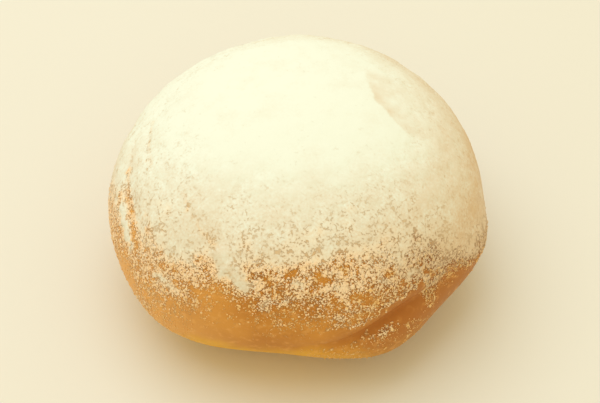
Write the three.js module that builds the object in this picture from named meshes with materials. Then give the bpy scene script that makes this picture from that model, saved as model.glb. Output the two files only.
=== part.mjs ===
// A round filled bun of soft baked dough, in one piece: a full dome over a rounded heel,
// with a fold at the front right where the dome rolls over a lip of dough.
// Millimetres, +Z up, front towards -Y. The origin is the middle of the footprint, on the table.
import * as THREE from "three";
import { mergeVertices } from "three/addons/utils/BufferGeometryUtils.js";

// Driving dimensions
const HEIGHT = 58; // from the table to the crown
const WAIST_RADIUS = 47; // mean radius of the widest line, seen from above
const WAIST_HEIGHT = 25; // of the widest line above the table
const DOME_FULLNESS = 2.09; // 2 is an ellipse, more is squarer
const HEEL_FULLNESS = 2.18;
const HEEL_DEPTH = 27.9; // how far the dough would reach below its waist with no table under it
const SETTLE = 1; // height over which the underside eases onto the table

// Slight unevenness of the plan: how far it leaves a true circle, by the number of lobes
const PLAN_LOBES = [
  { lobes: 2, out: 0.5 },
  { lobes: 3, out: -0.65 },
];

// Places where the dough swells or is pressed in. Azimuth runs round from +X, -90 being the front,
// and latitude is measured at the middle of the waist. out is along the radius.
const SWELLINGS = [
  { name: "left heel", azimuth: -132, latitude: -14, out: 2.2, wide: 17, tall: 15 },
  { name: "flat front", azimuth: -98, latitude: -18, out: -0.8, wide: 17, tall: 15 },
  { name: "lip", azimuth: -62, latitude: -16, out: 3.8, wide: 18, tall: 15 },
  { name: "right side", azimuth: -20, latitude: -4, out: 2.2, wide: 15, tall: 9 },
  { name: "right back", azimuth: 62, latitude: -12, out: 1.4, wide: 24, tall: 16 },
  { name: "flat back", azimuth: 98, latitude: -8, out: -0.8, wide: 16, tall: 18 },
  { name: "left back", azimuth: 136, latitude: -15, out: 1.6, wide: 22, tall: 15 },
  { name: "sugar drift", azimuth: -109, latitude: 18, out: 0.5, wide: 5, tall: 7 },
];

// The fold: a flat-topped arch over the lip, deep in the middle and fading out at both ends
const FOLD_AZIMUTH = -46; // of the arch's top
const FOLD_REACH = 24; // half width of the arch, in degrees
const FOLD_FOOT = -6.6; // latitude that the arch's two ends run out to
const FOLD_RISE = 7.8; // from there to the arch's top, in degrees
const FOLD_DEPTH = 2.4;
const FOLD_ROLL = 2.3; // half width of the steep side, under the dome
const FOLD_SLOPE = 3.8; // half width of the gentle side, down the lip
const FOLD_MIDDLE = -57; // azimuth about which the depth is even
const FOLD_EVEN = 11; // degrees of full depth either side of it
const FOLD_FADE = 14;

// Shallow wrinkles round the left side, from squeezing: lines that fall towards the front
const WRINKLES = [
  { azimuth: -160, latitude: 21, fall: -0.42, depth: 0.9, half: 2.2, reach: 24 },
  { azimuth: -176, latitude: 33, fall: -0.13, depth: 0.5, half: 2.0, reach: 20 },
  { azimuth: 152, latitude: 14, fall: 0.2, depth: 0.6, half: 2.2, reach: 18 },
];

// Fineness of the surface
const COLUMNS = 112;
const ROWS = 48;
const WAIST_CROWDING = 0.6; // share by which rows are closer at the waist than on average
const ROW_BEND = 30; // degrees above and below the fold over which rows bend to run along it

const CRUST = { color: 0xc27a33, roughness: 0.55, metalness: 0 };

const { degToRad, radToDeg } = THREE.MathUtils;

// A smooth hump, 1 at x = 0 and near 0 beyond x = 2.
function bell(x) {
  return Math.exp(-x * x);
}

// A hump with a flat top, 1 at x = 0 and near 0 beyond x = 1.5.
function plateau(x) {
  return Math.exp(-(x ** 4));
}

// The angle from one azimuth to another, in degrees from -180 to 180.
function turn(from, to) {
  return THREE.MathUtils.euclideanModulo(to - from + 180, 360) - 180;
}

// Radius of the widest line at an azimuth.
function waistRadius(azimuth) {
  return PLAN_LOBES.reduce(
    (radius, { lobes, out }) => radius + out * Math.sin(lobes * degToRad(azimuth)),
    WAIST_RADIUS,
  );
}

// Distance from the middle of the waist to the even dough: a superellipse in every upright
// section, taller above the waist than below it.
function evenRadius(azimuth, latitude) {
  const above = latitude >= 0;
  const tall = above ? HEIGHT - WAIST_HEIGHT : HEEL_DEPTH;
  const power = above ? DOME_FULLNESS : HEEL_FULLNESS;
  const across = Math.cos(degToRad(latitude)) / waistRadius(azimuth);
  const upright = Math.abs(Math.sin(degToRad(latitude))) / tall;
  return (across ** power + upright ** power) ** (-1 / power);
}

function swelling(azimuth, latitude) {
  return SWELLINGS.reduce(
    (sum, s) =>
      sum +
      s.out *
        bell(turn(s.azimuth, azimuth) / s.wide) *
        bell((latitude - s.latitude) / s.tall),
    0,
  );
}

// Millimetres along the surface for a number of degrees at the waist.
function alongWaist(degrees) {
  return WAIST_RADIUS * degToRad(degrees);
}

// How far the fold's line has risen from its ends, in degrees.
function foldRise(azimuth) {
  return FOLD_RISE * plateau(turn(FOLD_AZIMUTH, azimuth) / FOLD_REACH);
}

function fold(azimuth, latitude) {
  const line = FOLD_FOOT + foldRise(azimuth);
  const past = Math.max(Math.abs(turn(FOLD_MIDDLE, azimuth)) - FOLD_EVEN, 0);
  const above = alongWaist(latitude - line);
  const half = above > 0 ? FOLD_ROLL : FOLD_SLOPE;
  return -FOLD_DEPTH * bell(past / FOLD_FADE) * bell(above / half);
}

function wrinkles(azimuth, latitude) {
  return WRINKLES.reduce((sum, w) => {
    const along = turn(w.azimuth, azimuth);
    const above = alongWaist(latitude - (w.latitude + w.fall * along));
    return sum - w.depth * bell(along / w.reach) * bell(above / w.half);
  }, 0);
}

// Height after the dough's weight has pressed its underside flat on the table.
function settled(z) {
  if (z >= SETTLE) return z;
  if (z <= -SETTLE) return 0;
  return (z + SETTLE) ** 2 / (4 * SETTLE);
}

function surfacePoint(azimuth, latitude) {
  const radius =
    evenRadius(azimuth, latitude) +
    swelling(azimuth, latitude) +
    fold(azimuth, latitude) +
    wrinkles(azimuth, latitude);
  const level = radius * Math.cos(degToRad(latitude));
  return new THREE.Vector3(
    level * Math.cos(degToRad(azimuth)),
    level * Math.sin(degToRad(azimuth)),
    settled(WAIST_HEIGHT + radius * Math.sin(degToRad(latitude))),
  );
}

// Latitude of a vertex that starts on a row of an even sphere. Rows crowd towards the waist,
// where the fold and the wrinkles are, and those near the fold run along its line.
function rowLatitude(row, azimuth) {
  const crowded = row - radToDeg((WAIST_CROWDING / 2) * Math.sin(degToRad(2 * row)));
  return crowded + foldRise(azimuth) * bell((crowded - FOLD_FOOT) / ROW_BEND);
}

// A sphere whose every vertex is moved out to the dough's surface.
function bunGeometry() {
  const sphere = new THREE.SphereGeometry(1, COLUMNS, ROWS).rotateX(Math.PI / 2);
  sphere.deleteAttribute("uv");
  sphere.deleteAttribute("normal");
  const geometry = mergeVertices(sphere);
  const position = geometry.getAttribute("position");
  const start = new THREE.Vector3();
  for (let i = 0; i < position.count; i++) {
    start.fromBufferAttribute(position, i);
    const azimuth = radToDeg(Math.atan2(start.y, start.x));
    const row = radToDeg(Math.asin(THREE.MathUtils.clamp(start.z, -1, 1)));
    const point = surfacePoint(azimuth, rowLatitude(row, azimuth));
    position.setXYZ(i, point.x, point.y, point.z);
  }
  geometry.computeBoundingBox();
  const middle = geometry.boundingBox.getCenter(new THREE.Vector3());
  geometry.translate(-middle.x, -middle.y, 0);
  geometry.computeVertexNormals();
  return geometry;
}

const bun = new THREE.Mesh(bunGeometry(), new THREE.MeshStandardMaterial(CRUST));
bun.name = "bun";

const creamBun = new THREE.Group();
creamBun.add(bun);

export default creamBun;
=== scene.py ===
# A round filled bun of soft dough, dusted with icing sugar.
# Metres, +Z up, front towards -Y, as in the CAD model that it is built on.
import math

import bpy
import numpy as np
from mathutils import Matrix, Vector, noise


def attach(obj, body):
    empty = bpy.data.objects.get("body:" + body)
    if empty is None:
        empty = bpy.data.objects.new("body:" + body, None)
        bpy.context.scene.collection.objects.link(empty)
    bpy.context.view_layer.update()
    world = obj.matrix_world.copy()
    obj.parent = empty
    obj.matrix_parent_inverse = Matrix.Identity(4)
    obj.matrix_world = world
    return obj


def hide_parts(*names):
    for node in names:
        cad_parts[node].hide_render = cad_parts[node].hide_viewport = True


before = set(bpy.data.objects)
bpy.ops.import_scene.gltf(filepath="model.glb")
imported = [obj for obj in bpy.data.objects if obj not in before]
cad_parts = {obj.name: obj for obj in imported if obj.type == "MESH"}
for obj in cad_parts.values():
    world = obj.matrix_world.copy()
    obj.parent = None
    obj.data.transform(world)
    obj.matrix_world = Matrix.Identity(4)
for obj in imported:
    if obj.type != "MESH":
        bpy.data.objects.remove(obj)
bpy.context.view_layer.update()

# Dough
# The bun itself: a ball of soft yeast dough, proved round, baked golden brown and filled.
# Its skin is thin and satin and gently uneven.
# Its colour has painted light on the left, painted shade, browner, on the right and in the fold, and
# yellow painted bounce light low on the heel.
MM = 0.001
MERGE_GAP = 0.01 * MM
ROUNDINGS = 2  # times that the CAD model's facets are divided
DOUGH_VOXEL = 0.575 * MM
VOXEL_EASE = 0.5
DOUGH_EASINGS = 6
FLAT_BELOW = 0.3 * MM  # the part of the heel that lies on the table and stays flat
UNEVEN_ABOVE = 4 * MM
DOUGH_WAVES = {"size": 14 * MM, "depth": 0.5 * MM, "octaves": 1}
DOUGH_SKIN = {"size": 2.2 * MM, "depth": 0.09 * MM, "octaves": 3}

# The fold at the front right, where the dome rolls over a lip: a flat-topped arch. Azimuth runs
# round from +X, -90 being the front, and latitude is measured at the middle of the waist
WAIST = np.array((-0.30, -0.60, 25)) * MM
WAIST_RADIUS = 47  # in mm
DEGREE = WAIST_RADIUS * math.pi / 180  # millimetres along the waist for one degree
FOLD_TOP = -46  # azimuth of the arch's top, and half its width
FOLD_REACH = 24
FOLD_FOOT = -6.6  # latitude of the arch's ends, and the rise from there to its top
FOLD_RISE = 7.8
FOLD_LEFT = -84  # where the fold's sharp part starts and ends, and how far it fades there
FOLD_RIGHT = -50
FOLD_FADE = 14
CREASE_DEPTH = 0.6  # of the sharp line at the bottom of the fold, in mm
CREASE_HALF = 1.0
LIP_SWELL = 0.35
LIP_BELOW = 3.2
LIP_HALF = 2


def work_on(piece):
    bpy.ops.object.select_all(action="DESELECT")
    piece.select_set(True)
    bpy.context.view_layer.objects.active = piece


def finish_with(piece, kind, **settings):
    modifier = piece.modifiers.new(kind.lower(), kind)
    for name, value in settings.items():
        setattr(modifier, name, value)
    work_on(piece)
    bpy.ops.object.modifier_apply(modifier=modifier.name)


def vertex_array(piece, what="co"):
    values = np.empty(len(piece.data.vertices) * 3)
    piece.data.vertices.foreach_get(what, values)
    return values.reshape(-1, 3)


def smoothstep(low, high, x):
    t = np.clip((x - low) / (high - low), 0, 1)
    return t * t * (3 - 2 * t)


def bearings(points):
    """Azimuth and latitude of points, in degrees."""
    x, y, z = (points - WAIST).T
    return np.degrees(np.arctan2(y, x)), np.degrees(np.arctan2(z, np.hypot(x, y)))


def turn(start, end):
    """The angle from one azimuth to another, in degrees from -180 to 180."""
    return (end - start + 180) % 360 - 180


def bell(x):
    return np.exp(-x * x)


def above_fold(azimuth, latitude):
    """Millimetres above the fold's line, along the surface."""
    rise = FOLD_RISE * np.exp(-((turn(FOLD_TOP, azimuth) / FOLD_REACH) ** 4))
    return (latitude - FOLD_FOOT - rise) * DEGREE


def along_fold(azimuth, fade):
    """1 along the fold, fading to 0 over some degrees at its two ends."""
    started = smoothstep(FOLD_LEFT - fade, FOLD_LEFT + fade, azimuth)
    return started * smoothstep(FOLD_RIGHT + fade, FOLD_RIGHT - fade, azimuth)


def ripple(piece, name, size, depth, octaves):
    texture = bpy.data.textures.new(name, "CLOUDS")
    texture.noise_scale = size
    texture.noise_depth = octaves
    finish_with(
        piece,
        "DISPLACE",
        texture=texture,
        texture_coords="LOCAL",
        strength=depth,
        vertex_group="free",
    )


dough = bpy.data.objects.new("bun_dough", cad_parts["bun"].data.copy())
bpy.context.scene.collection.objects.link(dough)
dough.data.materials.clear()
work_on(dough)
bpy.ops.object.mode_set(mode="EDIT")
bpy.ops.mesh.select_all(action="SELECT")
bpy.ops.mesh.remove_doubles(threshold=MERGE_GAP)
bpy.ops.mesh.tris_convert_to_quads()
bpy.ops.object.mode_set(mode="OBJECT")
finish_with(dough, "SUBSURF", levels=ROUNDINGS, render_levels=ROUNDINGS)
finish_with(dough, "REMESH", mode="VOXEL", voxel_size=DOUGH_VOXEL)
finish_with(dough, "SMOOTH", factor=VOXEL_EASE, iterations=DOUGH_EASINGS)

places, outward = vertex_array(dough), vertex_array(dough, "normal")
azimuth, latitude = bearings(places)
above = above_fold(azimuth, latitude)
lift = LIP_SWELL * bell((above + LIP_BELOW) / LIP_HALF) - CREASE_DEPTH * bell(above / CREASE_HALF)
lift *= along_fold(azimuth, FOLD_FADE) * MM
dough.data.vertices.foreach_set("co", (places + outward * lift[:, None]).ravel())

free = dough.vertex_groups.new(name="free")
for vertex in dough.data.vertices:
    free.add([vertex.index], smoothstep(FLAT_BELOW, UNEVEN_ABOVE, vertex.co.z), "REPLACE")
ripple(dough, "dough_waves", **DOUGH_WAVES)
ripple(dough, "dough_skin", **DOUGH_SKIN)
for vertex in dough.data.vertices:
    vertex.co.z = max(vertex.co.z, 0)
work_on(dough)
bpy.ops.object.shade_smooth()

# The crust's colours and where each lies
CRUST_DARK = (0.53, 0.208, 0.025, 1)
CRUST_GOLD = (0.66, 0.285, 0.037, 1)
CRUST_PALE_AND_LIT = (0.86, 0.460, 0.140, 1)  # painted light to the left, and the crust's own pale flecks
CRUST_SHADED_RIGHT = (0.42, 0.152, 0.026, 1)  # painted shade to the right
CRUST_FOLD_SHADE = (0.44, 0.145, 0.017, 1)  # painted shade in the fold
# Painted bounce light from the floor, yellow low on the heel
HEEL_BOUNCE_LIGHT = (0.80, 0.425, 0.034, 1)
CRUST_SHADE = (0.60, 0.59, 0.80, 1)  # share of the crust's colour left beside specks of sugar
BROWNING_SIZE = 16 * MM
BROWNING_SPAN = (0.35, 0.65)
PAINTED_LIGHT_X = (-6 * MM, -45 * MM)
PAINTED_LIGHT_MOST = 0.85
PAINTED_SHADE_X = (0, 32 * MM)
PAINTED_SHADE_MOST = 0.8
HEEL_Z = (21 * MM, 12 * MM)
HEEL_STRAY = 2.5 * MM  # how far the upper edge of the painted bounce light wanders
HEEL_STRAY_SIZE = 11 * MM
HEEL_STRAY_SPAN = (0.3, 0.7)
FLECK_SIZE = 1.6 * MM
FLECK_SPAN = (0.5, 0.75)
FLECK_MOST = 0.45
CRUST_SHINE = {"roughness": 0.5, "specular": 0.35}
PORE_SIZE = 0.7 * MM
PORES = {"strength": 0.25, "depth": 0.1 * MM}
SPECKS = {"strength": 0.8, "depth": 0.2 * MM}
FINE = 3.0  # detail of the finest patterns

# The sugar's colours
SUGAR_WHITE = (0.885, 0.945, 0.925, 1)
SUGAR_THIN = (0.73, 0.545, 0.37, 1)  # a film through which the crust shows
SUGAR_PIT = (0.66, 0.53, 0.36, 1)
SUGAR_DRY = (0.98, 0.765, 0.55, 1)  # specks where the layer breaks up
SUGAR_SHADED_SPECKS = (0.77, 0.590, 0.418, 1)  # such specks on the right, darker with painted shade
SUGAR_LOW_SPECKS = (0.90, 0.58, 0.25, 1)  # specks low on the bun, more orange
SHADED_SPECKS_X = (12 * MM, 34 * MM)

# How the sugar breaks up. Cover runs from 0, bare, to 1, full, and dusting is cover made uneven
# by grains, patches and cracks
PATTERN_SPAN = (0.2, 0.8)
GRAIN_PATTERN = 0.6 * MM
GRAIN_SWING = 0.5
PATCH_PATTERN = 2.2 * MM
PATCH_SWING = 0.32
CRACK_CELL = 3.2 * MM
CRACK_WIDTH = 0.07  # share of a cell
CRACK_BEND = 1.6 * MM
CRACK_BEND_SIZE = 1.5 * MM
CRACK_PATCHES = 1.6 * MM
CRACK_PATCH_SPAN = (0.5, 0.62)
CRACK_LOSS = 0.4
LAYER_COVER = (0.52, 0.80)  # from dry specks to the layer
DRY_COVER = (0.2, 0.55)  # from the low specks to dry ones
PIT_COVER = (0.5, 0.85)  # from gaps that show the crust to shallow pits
SPECK_DUSTING = (0.40, 0.58)  # from gap to speck
FILM_COVER = (0.54, 0.95)  # where a film closes the gaps
FILM_MOST = 0.88
THINNING_COVER = (0.6, 1.15)  # how much of the unevenness reaches the layer's body
THINNING_SHARE = (0.85, 0.1)
SHADE_DUSTING = (0.1, 0.42)  # where the crust beside specks is shaded
SHADE_COVER = (0.2, 0.5)
SHADE_MOST = 0.85


def new_material(name, roughness, specular):
    material = bpy.data.materials.new(name)
    material.use_nodes = True
    tree = material.node_tree
    shader = tree.nodes["Principled BSDF"]
    shader.inputs["Roughness"].default_value = roughness
    shader.inputs["Specular IOR Level"].default_value = specular
    return material, tree, shader


def add_node(tree, kind, inputs=None, **settings):
    node = tree.nodes.new(kind)
    for name, value in settings.items():
        setattr(node, name, value)
    for name, value in (inputs or {}).items():
        if isinstance(value, bpy.types.NodeSocket):
            tree.links.new(value, node.inputs[name])
        else:
            node.inputs[name].default_value = value
    return node


def object_place(tree):
    return add_node(tree, "ShaderNodeTexCoord").outputs["Object"]


def object_axes(tree):
    return add_node(tree, "ShaderNodeSeparateXYZ", {"Vector": object_place(tree)}).outputs


def object_noise(tree, size, detail=2.0):
    inputs = {"Vector": object_place(tree), "Scale": 1 / size, "Detail": detail}
    return add_node(tree, "ShaderNodeTexNoise", inputs).outputs["Fac"]


def ranged(tree, value, low, high, to_low=0.0, to_high=1.0, way="SMOOTHSTEP"):
    return add_node(
        tree,
        "ShaderNodeMapRange",
        {"Value": value, "From Min": low, "From Max": high, "To Min": to_low, "To Max": to_high},
        interpolation_type=way,
    ).outputs["Result"]


def mixed(tree, share, first, second, blend="MIX"):
    node = add_node(tree, "ShaderNodeMix", data_type="RGBA", blend_type=blend)
    for name, value in (("Factor_Float", share), ("A_Color", first), ("B_Color", second)):
        socket = next(s for s in node.inputs if s.identifier == name)
        if isinstance(value, bpy.types.NodeSocket):
            tree.links.new(value, socket)
        else:
            socket.default_value = value
    return next(s for s in node.outputs if s.identifier == "Result_Color")


def reckoned(tree, way, first, second):
    node = add_node(tree, "ShaderNodeMath", {0: first, 1: second}, operation=way)
    return node.outputs["Value"]


def times(tree, first, second):
    return reckoned(tree, "MULTIPLY", first, second)


def summed(tree, first, second):
    return reckoned(tree, "ADD", first, second)


def larger(tree, first, second):
    return reckoned(tree, "MAXIMUM", first, second)


def point_value(tree, name):
    return add_node(tree, "ShaderNodeAttribute", attribute_name=name).outputs["Fac"]


def raised(tree, height, strength, depth, under=None):
    """A bumpy surface, over another one where it is given."""
    inputs = {"Height": height, "Strength": strength, "Distance": depth}
    if under:
        inputs["Normal"] = under
    return add_node(tree, "ShaderNodeBump", inputs).outputs["Normal"]


def cracks(tree):
    """1 along short fine cracks, 0 between them."""
    place = object_place(tree)
    bend_inputs = {"Vector": place, "Scale": 1 / CRACK_BEND_SIZE}
    bend = add_node(tree, "ShaderNodeTexNoise", bend_inputs).outputs["Color"]
    bent = add_node(
        tree,
        "ShaderNodeVectorMath",
        {0: bend, 1: (CRACK_BEND,) * 3, 2: place},
        operation="MULTIPLY_ADD",
    ).outputs["Vector"]
    edge = add_node(
        tree,
        "ShaderNodeTexVoronoi",
        {"Vector": bent, "Scale": 1 / CRACK_CELL},
        feature="DISTANCE_TO_EDGE",
    ).outputs["Distance"]
    some = ranged(tree, object_noise(tree, CRACK_PATCHES), *CRACK_PATCH_SPAN)
    return times(tree, ranged(tree, edge, CRACK_WIDTH, 0.0), some)


def sugar_colour(tree, cover, body):
    """White to thin in the layer, cream where it breaks up, and more orange below that. Less body
    and darker specks on the right are painted shade.
    """
    layer = mixed(tree, body, SUGAR_THIN, SUGAR_WHITE)
    # Painted shade: the specks are darker towards the right.
    to_right = ranged(tree, object_axes(tree)["X"], *SHADED_SPECKS_X)
    specks = mixed(tree, to_right, SUGAR_DRY, SUGAR_SHADED_SPECKS)
    sugar = mixed(tree, ranged(tree, cover, *LAYER_COVER), specks, layer)
    return mixed(tree, ranged(tree, cover, *DRY_COVER), SUGAR_LOW_SPECKS, sugar)


def dusted(tree, crust):
    """The crust's colour under its sugar, and where specks of sugar stand."""
    cover = point_value(tree, "cover")
    grain = object_noise(tree, GRAIN_PATTERN, FINE)
    grain = ranged(tree, grain, *PATTERN_SPAN, -GRAIN_SWING, GRAIN_SWING, "LINEAR")
    patch = object_noise(tree, PATCH_PATTERN)
    patch = ranged(tree, patch, *PATTERN_SPAN, -PATCH_SWING, PATCH_SWING, "LINEAR")
    uneven = summed(tree, summed(tree, grain, patch), times(tree, cracks(tree), -CRACK_LOSS))
    dusting = summed(tree, cover, uneven)
    film = ranged(tree, cover, *FILM_COVER, 0, FILM_MOST)
    lace = larger(tree, ranged(tree, dusting, *SPECK_DUSTING), film)
    thinning = times(tree, uneven, ranged(tree, cover, *THINNING_COVER, *THINNING_SHARE))
    body = summed(tree, point_value(tree, "body"), thinning)
    shaded = ranged(tree, cover, *SHADE_COVER, 0, SHADE_MOST)
    beside = times(tree, ranged(tree, dusting, *SHADE_DUSTING), shaded)
    gaps = mixed(tree, beside, crust, CRUST_SHADE, "MULTIPLY")
    gaps = mixed(tree, ranged(tree, cover, *PIT_COVER), gaps, SUGAR_PIT)
    return mixed(tree, lace, gaps, sugar_colour(tree, cover, body)), lace


def crust_material():
    material, tree, shader = new_material("crust", **CRUST_SHINE)
    axes = object_axes(tree)
    browning = ranged(tree, object_noise(tree, BROWNING_SIZE), *BROWNING_SPAN)
    colour = mixed(tree, browning, CRUST_DARK, CRUST_GOLD)
    # Painted light: the crust is paler towards the left.
    colour = mixed(tree, ranged(tree, axes["X"], *PAINTED_LIGHT_X, 0, PAINTED_LIGHT_MOST), colour, CRUST_PALE_AND_LIT)
    # Painted bounce light from the floor: yellow low on the heel, under a wandering edge.
    stray = object_noise(tree, HEEL_STRAY_SIZE)
    stray = ranged(tree, stray, *HEEL_STRAY_SPAN, -HEEL_STRAY, HEEL_STRAY, "LINEAR")
    height = summed(tree, axes["Z"], stray)
    colour = mixed(tree, ranged(tree, height, *HEEL_Z), colour, HEEL_BOUNCE_LIGHT)
    # Painted shade: the crust is browner towards the right.
    colour = mixed(tree, ranged(tree, axes["X"], *PAINTED_SHADE_X, 0, PAINTED_SHADE_MOST), colour, CRUST_SHADED_RIGHT)
    flecks = ranged(tree, object_noise(tree, FLECK_SIZE, FINE), *FLECK_SPAN, 0, FLECK_MOST)
    colour = mixed(tree, flecks, colour, CRUST_PALE_AND_LIT)
    # Painted shade in the fold.
    colour = mixed(tree, point_value(tree, "fold_shade"), colour, CRUST_FOLD_SHADE)
    colour, lace = dusted(tree, colour)
    tree.links.new(colour, shader.inputs["Base Color"])
    pores = raised(tree, object_noise(tree, PORE_SIZE, FINE), **PORES)
    tree.links.new(raised(tree, lace, **SPECKS, under=pores), shader.inputs["Normal"])
    return material


dough.data.materials.append(crust_material())
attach(dough, "root")
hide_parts("bun")

# Sugar coat
# Icing sugar sifted over the dome from above. It lies as one soft layer on the crown,
# thins and breaks up down the sides, and is rubbed off in places by handling.
SEED = 11
SEED_STEP = Vector((17.3, 5.1, 9.7))  # moves a pattern along for each seed
MOTTLE_FALL = 1  # how much weaker and finer each further octave of a pattern is
MOTTLE_FINER = 2

# Azimuth, latitude at which half of the crust is covered, the degrees below that line over which
# the cover falls by 1, and those above it over which it makes most of its gain
SIFTED_EDGE = [
    (-180, -1, 60, 12), (-170, 7, 75, 10), (-160, 9, 70, 15), (-150, 8.5, 36, 17),
    (-140, 11, 80, 16), (-130, 10.5, 65, 13), (-120, 16.2, 52, 12), (-110, 19.5, 34, 12),
    (-100, 19.5, 50, 12), (-90, 20, 54, 13), (-80, 18, 105, 16), (-70, 15, 90, 19),
    (-60, 14, 65, 19), (-50, 13, 60, 21), (-40, 8, 45, 15), (-30, -1, 40, 14),
    (0, -6, 42, 14), (30, -2, 42, 14), (60, 8, 42, 14), (100, 14, 42, 14),
    (140, 8, 42, 14), (180, -1, 60, 12),
]
HALF_COVERED = 0.5
COVER_GAIN = 0.47
CROWN_GAIN = 0.2  # more than that, and the latitudes between which it comes
CROWN_LATITUDES = (38, 58)
COVER_CLOUDS = {"size": 7 * MM, "seed": SEED}
COVER_CLOUDS_CHANGE = 0.10
COVER_SPOTS = {"size": 3 * MM, "seed": SEED + 8}
COVER_SPOTS_CHANGE = 0.08

# Marks in the layer: (azimuth, latitude) from and to, half width in mm, and change of cover
SUGAR_MARKS = {
    "left gap, top": ((178, 27), (-168, 22.2), 0.65, -0.14),
    "left gap, upper": ((-168, 22.2), (-153, 17.2), 0.75, -0.18),
    "left gap, lower": ((-153, 17.2), (-144, 11.5), 0.9, -0.24),
    "left streak, upper": ((-158, 14.5), (-154, 13), 0.8, 0.35),
    "left streak, lower": ((-154, 13), (-146, 10), 0.8, 0.35),
    "bare left of the left streak": ((-162.5, 16), (-160.5, 14.5), 0.9, -0.25),
    "upper left gap": ((176, 33), (-161, 31), 0.9, -0.15),
    "pits on the left": ((-138, 34), (-117, 25), 0.7, -0.13),
    "pits right of the left gap": ((-146, 21.5), (-142, 19), 0.9, -0.14),
    "left patch": ((-134, 9), (-126, 8), 1.2, 0.22),
    "upper left patch": ((-131, 18.5), (-129, 17.5), 1.2, 0.15),
    "bare above the left patch": ((-134, 11.5), (-128, 14), 1.3, -0.2),
    "bare left of the drift": ((-119.5, 20), (-117, 19.5), 1.3, -0.17),
    "drift": ((-114.5, 22.8), (-112.5, 19.8), 2.6, 0.34),
    "patch above the drift": ((-110, 25), (-108, 24.5), 1.4, 0.13),
    "drift's tail": ((-108, 18.3), (-104.6, 16), 1.7, 0.32),
    "patch left of the drift": ((-124, 18.5), (-122, 17.5), 1.1, 0.13),
    "bare right of the drift": ((-105.8, 20.5), (-104, 20), 1.1, -0.26),
    "thin right of the drift": ((-104, 22), (-98, 21), 2.2, -0.06),
    "pits at the front": ((-92.5, 21.5), (-87.5, 22), 0.9, -0.2),
    "bare above the band": ((-99, 19.5), (-97, 18), 1.0, -0.2),
    "band": ((-99.5, 10), (-98.5, 12.5), 1.5, 0.28),
    "patch right of the band": ((-95, 11.5), (-92, 13), 1.2, 0.22),
    "patch at the front": ((-90, 18), (-88.5, 18), 1.1, 0.24),
    "patch right of the front": ((-81, 15.5), (-79, 14.5), 1.1, 0.16),
    "bare right of the front": ((-82.8, 19.8), (-81.8, 18.8), 1.2, -0.36),
    "bare further right": ((-76.5, 21), (-75, 20), 1.1, -0.34),
    "thin right of the front": ((-82, 18), (-74, 22), 2.6, -0.09),
    "thin further right": ((-74.5, 24), (-68, 22.5), 2.0, -0.08),
    "right streak": ((-77, 17.5), (-74.5, 10), 1.3, 0.12),
    "bare left of the right streak": ((-80, 13), (-78, 9.5), 1.1, -0.13),
    "bare right of the right streak": ((-73, 12), (-71, 11.5), 1.0, -0.1),
    "thin right of the right streak": ((-74, 13), (-69, 12), 1.8, -0.08),
    "patch above the fold, left": ((-80.5, 7), (-77, 6), 1.4, 0.12),
    "edge of the fold's roll": ((-75, 0.5), (-69.5, 2), 1.2, 0.13),
    "pit above the roll": ((-73, 5), (-66.5, 4.5), 0.9, -0.17),
    "higher pit above the roll": ((-68, 8.5), (-66, 7.5), 1.0, -0.18),
    "pit above the fold, right": ((-57, 11.5), (-55.5, 11), 0.9, -0.15),
    "bare above the fold": ((-61.5, 15.5), (-59.8, 14.8), 1.1, -0.36),
    "patch above the fold, middle": ((-64, 14.5), (-62, 13.5), 1.2, 0.2),
    "patch further left": ((-71, 15.5), (-69, 14.5), 1.0, 0.15),
    "patch above the fold, right": ((-53.5, 12.5), (-51, 11.5), 1.6, 0.32),
    "bare right of that patch": ((-49, 11), (-47, 9), 0.9, -0.36),
    "specks on the lip": ((-73, -6), (-61, -3), 1.5, 0.15),
    "specks right of the fold": ((-47.5, 6.5), (-44, 0), 3.0, 0.13),
    "bare at the right edge": ((-45, 8), (-40, 7), 0.8, -0.14),
}
STRAY = {"size": 2.2 * MM, "seed": SEED + 9}
MARK_WANDER = 1.1  # degrees by which a mark's edges stray
GAP_UNEVEN = 0.6
GAP_THINNING = 1.3  # loss of body for the cover that a gap takes away
DRIFT_UNEVEN = 0.4

# No sugar falls in a strip under the roll of the fold, and less on the side to the right of the
# fold. The strip's upper and lower edges are by azimuth, in mm above the fold's line
STRIP_UPPER = {
    -84: 4.4,
    -78: 6.0,
    -74: 4.2,
    -70: 3.9,
    -67: 3.2,
    -65: 3.9,
    -62: 4.0,
    -59: 3.3,
    -56: 3.6,
    -53: 4.4,
    -45: 5.0,
    -36: 3.5,
    -25: 0.8,
}
STRIP_LOWER = {-70: 0.0, -62: -0.5, -57: -2.0, -50: -4.0}
STRIP_WANDER = 1.3
STRIP_LOSS = 2
STRIP_FADE_ABOVE = (1.2, -0.4)  # mm above the upper edge between which the loss sets in
STRIP_FADE_BELOW = 1.4  # mm below the lower edge over which it ends
STRIP_FADE_ENDS = 5  # degrees
STRIP_RIGHT = -50.5  # azimuth at which the strip stops, and degrees either side of it
STRIP_STOP = 2
SIDE_LEFT = -47
SIDE_LEFT_FADE = 10
SIDE_RIGHT = -18
SIDE_RIGHT_FADE = 6
SIDE_LOSS = 0.16
SIDE_DOUBLED = (1, -3)  # mm above the fold's line between which the loss doubles

# Painted shade, a darker red on the crust in the fold: how far down the lip and how strongly, by
# azimuth
FOLD_SHADE_DOWN = {-74: 2.0, -66: 3.4, -56: 6.0}
FOLD_SHADE_SHARE = {-76: 0.5, -66: 0.75, -58: 0.9}
FOLD_SHADE_UP = 4.0
FOLD_SHADE_FADE_ENDS = 10

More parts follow.
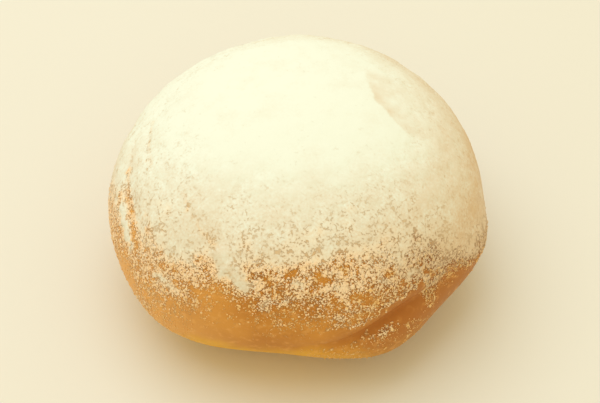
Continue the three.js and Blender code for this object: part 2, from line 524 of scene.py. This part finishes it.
# The rubbed place on the upper right: its sharp left edge as (y, x) in mm, how far it fades to the
# right, and the y between which its two ends fade
RUBBED_EDGE = [(-9, 25.2), (-8.2, 24.7), (-3.6, 20.8), (0, 17.8), (7.6, 16.4), (10, 16.2)]
RUBBED_SHARP = 0.9
RUBBED_FADE = 9
RUBBED_FRONT = (-10, -6)
RUBBED_BACK = (13, 8)
RUBBED_LOSS = 0.40
RUBBED_STRAY = {"size": 1.6 * MM, "seed": SEED + 10}
RUBBED_WANDER = 0.5
RUBBED_PATCHES = {"size": 3 * MM, "seed": SEED + 11}
RUBBED_MEAN = 0.9
RUBBED_CHANGE = 0.6

# The sugar fell from above, so the layer has more body where it faces up. The direction is tilted
# to the left, so that less body on the right paints shade there. By how far a place faces it: where
# a film starts, where it is full and a thicker layer starts on it, and where that is full too
SIFTED_AND_LIT_FROM = np.array((-0.25, -0.05, 0.967))
FILM_FROM = 0.1
BODY_FROM = 0.56
BODY_FULL = 0.82
FILM_BODY = 0.46
FILM_WEAR = 0.1  # the film's share of the layer's wear
BODY_CLOUDS = {"size": 6 * MM, "seed": SEED + 12}
BODY_CLOUDS_CHANGE = 0.1

# Where the layer is worn thin: azimuth and latitude, half the width and height, and loss
WORN = {
    "front": (-84, 35, 36, 14, 0.64),
    "left front": (-128, 31, 18, 11, 0.56),
    "below the front": (-112, 22, 50, 12, 0.8),
    "right front": (-50, 27, 18, 12, 0.66),
    "left": (-164, 22, 16, 10, 0.34),
    "back": (70, 38, 50, 10, 0.38),
}

# The layer as a shell: how deep it lies, and the cover at which it closes
COAT_ABOVE = 18 * MM  # height below which there is none
COAT_VOXEL = 0.48 * MM
COAT_EASINGS = 3
COAT_DEPTH = 0.34 * MM
CROWN_DEPTH = 0.2 * MM  # more than that on the crown
THIN_DEPTH = 0.5  # share of the depth that a layer without body has
COAT_SINK = 0.14 * MM  # how far the layer's edge dips under the crust
COAT_WALL = 0.3 * MM
CLOSED_COVER = (0.66, 1.1)
CROWN_COVER = (0.75, 1.3)
DRIFT_RISE = 0.35 * MM
RAGGED_WIDE = {"size": 2.4 * MM, "seed": SEED + 1}
RAGGED_FINE = {"size": 1.0 * MM, "seed": SEED + 2, "octaves": 2}
RAGGED_CHANGE = 0.25
RAGGED_BELOW = 1.1  # cover under which the layer's edge is ragged
RAGGED_MOST = 0.4
COAT_GRAIN = {"size": 0.9 * MM, "seed": SEED + 3}
COAT_GRAIN_DEPTH = 0.04 * MM
GRAIN_LOST = 0.8  # share of that which is lost on the crown
COAT_WAVES = {"size": 7 * MM, "seed": SEED + 4}
COAT_WAVES_DEPTH = 0.12 * MM
BARE_SINK = 0.6  # share of the dip past which the shell is cut away
FACING_DOWN = -0.5
ICING_SHINE = {"roughness": 0.9, "specular": 0.15}
POWDER_SIZE = 0.4 * MM
POWDER = {"strength": 0.3, "depth": 0.1 * MM}


def mottle(points, size, seed, octaves=3):
    """A cloudy pattern, about -1 to 1."""
    shift = SEED_STEP * seed
    return np.array(
        [noise.fractal(Vector(p) + shift, MOTTLE_FALL, MOTTLE_FINER, octaves) for p in points / size]
    )


def by_azimuth(table, azimuth):
    return np.interp(azimuth, list(table), list(table.values()))


def mark_strength(azimuth, latitude, start, end, half):
    """1 along a line from start to end, falling to 0 beside it."""
    squeeze = np.cos(np.radians(latitude)) * DEGREE
    run = np.array((turn(start[0], end[0]), end[1] - start[1]))
    from_start = np.stack((turn(start[0], azimuth), latitude - start[1]))
    share = np.clip(run @ from_start / (run @ run), 0, 1)
    across = (from_start[0] - share * run[0]) * squeeze
    along = (from_start[1] - share * run[1]) * DEGREE
    return np.exp(-((across**2 + along**2) / half**2))


def shelter(azimuth, latitude, stray):
    """Cover that the fold keeps off: all in the strip under its roll, some on the side."""
    above = above_fold(azimuth, latitude) + stray
    upper = by_azimuth(STRIP_UPPER, azimuth)
    start, end = STRIP_FADE_ABOVE
    under = smoothstep(upper + start, upper + end, above)
    lower = by_azimuth(STRIP_LOWER, azimuth)
    lip = smoothstep(lower, lower - STRIP_FADE_BELOW, above)
    strip = STRIP_LOSS * along_fold(azimuth, STRIP_FADE_ENDS) * under * (1 - lip)
    strip *= smoothstep(STRIP_RIGHT + STRIP_STOP, STRIP_RIGHT - STRIP_STOP, azimuth)
    beside = smoothstep(SIDE_LEFT, SIDE_LEFT + SIDE_LEFT_FADE, azimuth)
    beside *= smoothstep(SIDE_RIGHT + SIDE_RIGHT_FADE, SIDE_RIGHT, azimuth)
    return strip + SIDE_LOSS * beside * under * (1 + smoothstep(*SIDE_DOUBLED, above))


def fold_shade_share(azimuth, latitude):
    """The painted shade in the fold: strongest along its crease, falling to 0 up the roll and down
    the lip.
    """
    above = above_fold(azimuth, latitude)
    down = bell(above / by_azimuth(FOLD_SHADE_DOWN, azimuth))
    share = by_azimuth(FOLD_SHADE_SHARE, azimuth) * along_fold(azimuth, FOLD_SHADE_FADE_ENDS)
    return share * np.where(above > 0, bell(above / FOLD_SHADE_UP), down)


def rubbed(points):
    """1 just right of the rubbed place's edge, fading to the right and past its ends."""
    x, y = points[:, 0] / MM, points[:, 1] / MM
    edge_y, edge_x = zip(*RUBBED_EDGE)
    past = x - np.interp(y, edge_y, edge_x) + RUBBED_WANDER * mottle(points, **RUBBED_STRAY)
    ends = smoothstep(*RUBBED_FRONT, y) * smoothstep(*RUBBED_BACK, y)
    patchy = RUBBED_MEAN + RUBBED_CHANGE * mottle(points, **RUBBED_PATCHES)
    sharp = smoothstep(0, RUBBED_SHARP, past)
    return ends * patchy * sharp * bell(np.maximum(past, 0) / RUBBED_FADE)


def marked(points):
    """Cover that the gaps take away, and cover that the drifts add."""
    azimuth, latitude = bearings(points)
    stray = mottle(points, **STRAY)
    lines = azimuth + MARK_WANDER * stray, latitude + MARK_WANDER * stray
    gaps, drifts = np.zeros((2, len(points)))
    for start, end, half, change in SUGAR_MARKS.values():
        total, uneven = (gaps, GAP_UNEVEN) if change < 0 else (drifts, DRIFT_UNEVEN)
        total += change * (1 + uneven * stray) * mark_strength(*lines, start, end, half)
    return gaps, drifts


def sifted_cover(points):
    """How fully sugar covers each point: 0 is bare, 0.5 half covered and 1 full."""
    azimuth, latitude = bearings(points)
    edge_azimuth, *edge_values = zip(*SIFTED_EDGE)
    edge, fall, rise = (np.interp(azimuth, edge_azimuth, values) for values in edge_values)
    above = latitude - edge
    gained = COVER_GAIN * (1 - np.exp(-np.maximum(above, 0) / rise))
    cover = HALF_COVERED + gained + np.minimum(above, 0) / fall
    cover += CROWN_GAIN * smoothstep(*CROWN_LATITUDES, latitude)
    clouds = COVER_CLOUDS_CHANGE * mottle(points, **COVER_CLOUDS)
    cover += clouds + COVER_SPOTS_CHANGE * mottle(points, **COVER_SPOTS)
    cover += sum(marked(points))
    return cover - shelter(azimuth, latitude, STRIP_WANDER * mottle(points, **STRAY))


def sugar_body_and_shade(points, normals):
    """How thick and white the layer is, from 0, a film that the crust shows through, to 1, with less
    on the right as painted shade.
    """
    # Tilted to the left, the facing gives less body on the right, which is painted shade.
    facing_fall_and_light = normals @ SIFTED_AND_LIT_FROM
    film = FILM_BODY * smoothstep(FILM_FROM, BODY_FROM, facing_fall_and_light)
    sifted = (1 - FILM_BODY) * smoothstep(BODY_FROM, BODY_FULL, facing_fall_and_light)
    azimuth, latitude = bearings(points)
    for middle, level, wide, tall, loss in WORN.values():
        worn = loss * bell(turn(middle, azimuth) / wide) * bell((latitude - level) / tall)
        sifted *= 1 - worn
        film *= 1 - FILM_WEAR * worn
    clouds = BODY_CLOUDS_CHANGE * mottle(points, **BODY_CLOUDS)
    gaps = marked(points)[0]
    return film + sifted + clouds - RUBBED_LOSS * rubbed(points) + GAP_THINNING * gaps


def store(piece, name, values):
    attribute = piece.data.attributes.new(name, "FLOAT", "POINT")
    attribute.data.foreach_set("value", np.asarray(values, np.float32))


coat = bpy.data.objects.new("sugar_coat", dough.data.copy())
bpy.context.scene.collection.objects.link(coat)
coat.data.materials.clear()
work_on(coat)
bpy.ops.object.mode_set(mode="EDIT")
bpy.ops.mesh.select_all(action="SELECT")
bpy.ops.mesh.bisect(
    plane_co=(0, 0, COAT_ABOVE),
    plane_no=(0, 0, 1),
    clear_inner=True,
    use_fill=True,
)
bpy.ops.object.mode_set(mode="OBJECT")
finish_with(coat, "REMESH", mode="VOXEL", voxel_size=COAT_VOXEL)
finish_with(coat, "SMOOTH", factor=VOXEL_EASE, iterations=COAT_EASINGS)

spots = vertex_array(coat)
outward = vertex_array(coat, "normal")
cover = sifted_cover(spots)
body = sugar_body_and_shade(spots, outward)
ragged = cover + np.clip(RAGGED_BELOW - cover, 0, RAGGED_MOST) * (
    RAGGED_CHANGE * mottle(spots, **RAGGED_WIDE) + RAGGED_CHANGE * mottle(spots, **RAGGED_FINE)
)
laid = smoothstep(*CLOSED_COVER, ragged)
crown = smoothstep(*CROWN_COVER, cover)
depth = (COAT_DEPTH + CROWN_DEPTH * crown) * (THIN_DEPTH + (1 - THIN_DEPTH) * body) * laid
relief = COAT_GRAIN_DEPTH * mottle(spots, **COAT_GRAIN) * (1 - GRAIN_LOST * crown)
relief += COAT_WAVES_DEPTH * mottle(spots, **COAT_WAVES)
lift = depth + relief * laid - COAT_SINK * (1 - laid)
lift += DRIFT_RISE * mark_strength(*bearings(spots), *SUGAR_MARKS["drift"][:3])
coat.data.vertices.foreach_set("co", (spots + outward * lift[:, None]).ravel())
store(coat, "cover", cover)
store(coat, "body", body)
coat.data.update()

bare = lift < -BARE_SINK * COAT_SINK
bare |= outward[:, 2] < FACING_DOWN
for face in coat.data.polygons:
    face.select = all(bare[i] for i in face.vertices)
work_on(coat)
bpy.ops.object.mode_set(mode="EDIT")
bpy.ops.mesh.select_mode(type="FACE")
bpy.ops.mesh.delete(type="FACE")
bpy.ops.object.mode_set(mode="OBJECT")
finish_with(coat, "SOLIDIFY", thickness=COAT_WALL, offset=-1)
work_on(coat)
bpy.ops.object.shade_smooth()


def sugar_material():
    material, tree, shader = new_material("icing_sugar", **ICING_SHINE)
    colour, lace = dusted(tree, CRUST_GOLD)
    tree.links.new(colour, shader.inputs["Base Color"])
    powder = raised(tree, object_noise(tree, POWDER_SIZE), **POWDER)
    tree.links.new(raised(tree, lace, **SPECKS, under=powder), shader.inputs["Normal"])
    return material


coat.data.materials.append(sugar_material())
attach(coat, "root")

# Below the layer, specks of sugar too small to model cling to the crust.
crust_points, crust_normals = vertex_array(dough), vertex_array(dough, "normal")
crust_cover = sifted_cover(crust_points)
crust_body_and_shade = sugar_body_and_shade(crust_points, crust_normals)
store(dough, "cover", crust_cover)
store(dough, "body", crust_body_and_shade)
# The painted shade in the fold, kept on the crust's points.
store(dough, "fold_shade", fold_shade_share(*bearings(crust_points)))

# Sugar flakes
# Flakes and small lumps of icing sugar, left where the layer breaks up round the sides.
# They fell with the rest of the sugar and lie pressed flat on the crust.
FLAKE_COUNT = 6500
FLAKE_SIDES = 5
FLAKE_RINGS = 4
FLAKE_SIZE = 0.21 * MM  # typical radius
FLAKE_SPREAD = 0.38
FLAKE_LIMITS = (0.12 * MM, 0.45 * MM)
FLAKE_LEAST = 0.75  # share of its size that a flake has on bare crust, and more where covered
FLAKE_MORE = 0.35
FLAKE_FLATNESS = 0.45
FLAKE_DENTS = 0.5
FLAKE_RAISED = 0.25  # share of its size by which its middle stands off the crust
FLAKE_CLUMPS = {"size": 1.8 * MM, "seed": SEED + 5}
FLAKE_CLUMPING = 0.25
FLAKE_COVER = (0.25, 0.6)
LAYER_CLOSES = (0.5, 0.7)  # cover over which loose sugar gives way to the layer
LOOSE_STRETCH = 0.25
LOOSE_NUDGE = 0.5  # share of the crust's voxel
LOOSE_TONE_SIZE = 0.8 * MM
LOOSE_TONE_SPAN = (0.3, 0.7)
LOOSE_TONE = 0.15


def unit(vectors):
    return vectors / np.linalg.norm(vectors, axis=-1, keepdims=True)


def base_shape(add_primitive, **sizes):
    """Vertices and triangles, in a fixed order, of a primitive that is then thrown away."""
    bpy.ops.object.select_all(action="DESELECT")
    add_primitive(**sizes)
    bpy.ops.object.mode_set(mode="EDIT")
    bpy.ops.mesh.quads_convert_to_tris()
    bpy.ops.object.mode_set(mode="OBJECT")
    primitive = bpy.context.object
    points = vertex_array(primitive)
    triangles = np.array(sorted(face.vertices[:] for face in primitive.data.polygons))
    bpy.data.objects.remove(primitive)
    return points, triangles


def scatter(name, shape, chosen, centres, normals, sizes, flatness, dents, draw):
    """One mesh of many copies of a shape, each turned, dented and laid flat on the surface."""
    points, triangles = shape
    count = len(centres)
    side = unit(np.cross(normals, draw.normal(size=(count, 3))))
    other = np.cross(normals, side)
    stretch = np.exp(draw.normal(0, LOOSE_STRETCH, (count, 2)))
    dented = 1 + dents * draw.uniform(-1, 1, (count, len(points), 1))
    local = points[None] * dented * sizes[:, None, None]
    placed = (
        centres[:, None]
        + side[:, None] * (local[..., :1] * stretch[:, None, :1])
        + other[:, None] * (local[..., 1:2] * stretch[:, None, 1:])
        + normals[:, None] * (local[..., 2:] * flatness)
    )
    faces = (triangles[None] + np.arange(count)[:, None, None] * len(points)).reshape(-1, 3)
    mesh = bpy.data.meshes.new(name)
    mesh.from_pydata(placed.reshape(-1, 3).tolist(), [], faces.tolist())
    piece = bpy.data.objects.new(name, mesh)
    bpy.context.scene.collection.objects.link(piece)
    store(piece, "cover", np.repeat(crust_cover[chosen], len(points)))
    store(piece, "body", np.repeat(crust_body_and_shade[chosen], len(points)))
    work_on(piece)
    bpy.ops.object.shade_smooth()
    return piece


def settle_places(weights, count, draw):
    """Points of the crust drawn by weight, moved a little along it, with their normals."""
    chosen = draw.choice(len(weights), count, replace=False, p=weights / weights.sum())
    normals = unit(crust_normals[chosen])
    nudge = draw.uniform(-LOOSE_NUDGE, LOOSE_NUDGE, (count, 3)) * DOUGH_VOXEL
    nudge -= normals * (nudge * normals).sum(1, keepdims=True)
    return crust_points[chosen] + nudge, normals, chosen


outside_layer = 1 - smoothstep(*LAYER_CLOSES, crust_cover)
flake_draw = np.random.default_rng(SEED)
clumping = crust_cover + FLAKE_CLUMPING * mottle(crust_points, **FLAKE_CLUMPS)
flake_weight = smoothstep(*FLAKE_COVER, clumping) * outside_layer
flake_centres, flake_normals, chosen = settle_places(flake_weight, FLAKE_COUNT, flake_draw)
flake_sizes = FLAKE_SIZE * np.exp(flake_draw.normal(0, FLAKE_SPREAD, FLAKE_COUNT))
flake_sizes *= FLAKE_LEAST + FLAKE_MORE * np.clip(crust_cover[chosen], 0, 1)
flake_sizes = np.clip(flake_sizes, *FLAKE_LIMITS)
flake_heights = FLAKE_RAISED * flake_sizes
flakes = scatter(
    "sugar_flakes",
    base_shape(
        bpy.ops.mesh.primitive_uv_sphere_add,
        segments=FLAKE_SIDES,
        ring_count=FLAKE_RINGS,
        radius=1,
    ),
    chosen,
    flake_centres + flake_normals * flake_heights[:, None],
    flake_normals,
    flake_sizes,
    FLAKE_FLATNESS,
    FLAKE_DENTS,
    flake_draw,
)


def loose_sugar_material():
    material, tree, shader = new_material("loose_sugar", **ICING_SHINE)
    tone = object_noise(tree, LOOSE_TONE_SIZE)
    tone = ranged(tree, tone, *LOOSE_TONE_SPAN, -LOOSE_TONE, LOOSE_TONE)
    cover = summed(tree, tone, point_value(tree, "cover"))
    colour = sugar_colour(tree, cover, point_value(tree, "body"))
    tree.links.new(colour, shader.inputs["Base Color"])
    return material


loose_sugar = loose_sugar_material()
flakes.data.materials.append(loose_sugar)
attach(flakes, "root")

# Sugar grains
# The finest of the icing sugar: single grains below the layer, between the flakes and on the lip.
# They drifted down the sides and stuck to the crust.
GRAIN_COUNT = 9500
GRAIN_SIZE = 0.115 * MM
GRAIN_SPREAD = 0.3
GRAIN_LIMITS = (0.07 * MM, 0.24 * MM)
GRAIN_FLATNESS = 0.8
GRAIN_DENTS = 0.25
GRAIN_RAISED = 0.4
GRAIN_DRIFTS = {"size": 2.6 * MM, "seed": SEED + 6}
GRAIN_DRIFTING = 0.2
GRAIN_COVER = (0.05, 0.5)
GRAIN_UNDERSIDE = -0.6  # grains stick only where the crust faces less far down than this

grain_draw = np.random.default_rng(SEED + 1)
drifting = crust_cover + GRAIN_DRIFTING * mottle(crust_points, **GRAIN_DRIFTS)
grain_weight = smoothstep(*GRAIN_COVER, drifting) * outside_layer
grain_weight *= crust_normals[:, 2] > GRAIN_UNDERSIDE
grain_centres, grain_normals, chosen = settle_places(grain_weight, GRAIN_COUNT, grain_draw)
grain_sizes = GRAIN_SIZE * np.exp(grain_draw.normal(0, GRAIN_SPREAD, GRAIN_COUNT))
grain_sizes = np.clip(grain_sizes, *GRAIN_LIMITS)
grain_heights = GRAIN_RAISED * grain_sizes
grains = scatter(
    "sugar_grains",
    base_shape(bpy.ops.mesh.primitive_ico_sphere_add, subdivisions=1, radius=1),
    chosen,
    grain_centres + grain_normals * grain_heights[:, None],
    grain_normals,
    grain_sizes,
    GRAIN_FLATNESS,
    GRAIN_DENTS,
    grain_draw,
)
grains.data.materials.append(loose_sugar)
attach(grains, "root")

# Floor, light and camera
# A plain pale floor under one large soft light, overhead and a little to the back left, in a warm
# room, seen from the photograph's angle.
FLOOR_WIDTH = 3.0
FLOOR_PALE = (0.83, 0.825, 0.82, 1)
FLOOR_SHINE = {"roughness": 0.7, "specular": 0.2}
KEY_PLACE = Vector((-0.17, 0.12, 0.79))
KEY_WIDTH = 0.8
KEY_WATTS = 3.0
KEY_TINT = (0.76, 0.85, 1.0)
SKY_WARM = (1.0, 0.87, 0.50, 1)
SKY_STRENGTH = 0.86
CAMERA_PLACE = Vector((0, -0.23335, 0.25835))
CAMERA_AIM = Vector((0.0007, -0.0018, 0.0232))
CAMERA_LENS = 77.6

bpy.ops.mesh.primitive_plane_add(size=FLOOR_WIDTH)
floor = bpy.context.object
floor.name = "floor"
floor_material, _, floor_shader = new_material("floor", **FLOOR_SHINE)
floor_shader.inputs["Base Color"].default_value = FLOOR_PALE
floor.data.materials.append(floor_material)


def facing(place, aim):
    return (aim - place).to_track_quat("-Z", "Y").to_euler()


bpy.ops.object.light_add(type="AREA", location=KEY_PLACE, rotation=facing(KEY_PLACE, Vector()))
key = bpy.context.object.data
key.size = KEY_WIDTH
key.energy = KEY_WATTS
key.color = KEY_TINT

world = bpy.data.worlds.new("soft_room")
bpy.context.scene.world = world
world.use_nodes = True
sky = world.node_tree.nodes["Background"]
sky.inputs["Color"].default_value = SKY_WARM
sky.inputs["Strength"].default_value = SKY_STRENGTH

bpy.ops.object.camera_add(location=CAMERA_PLACE, rotation=facing(CAMERA_PLACE, CAMERA_AIM))
camera = bpy.context.object
camera.data.lens = CAMERA_LENS
bpy.context.scene.camera = camera
bpy.context.scene.view_settings.view_transform = "Standard"
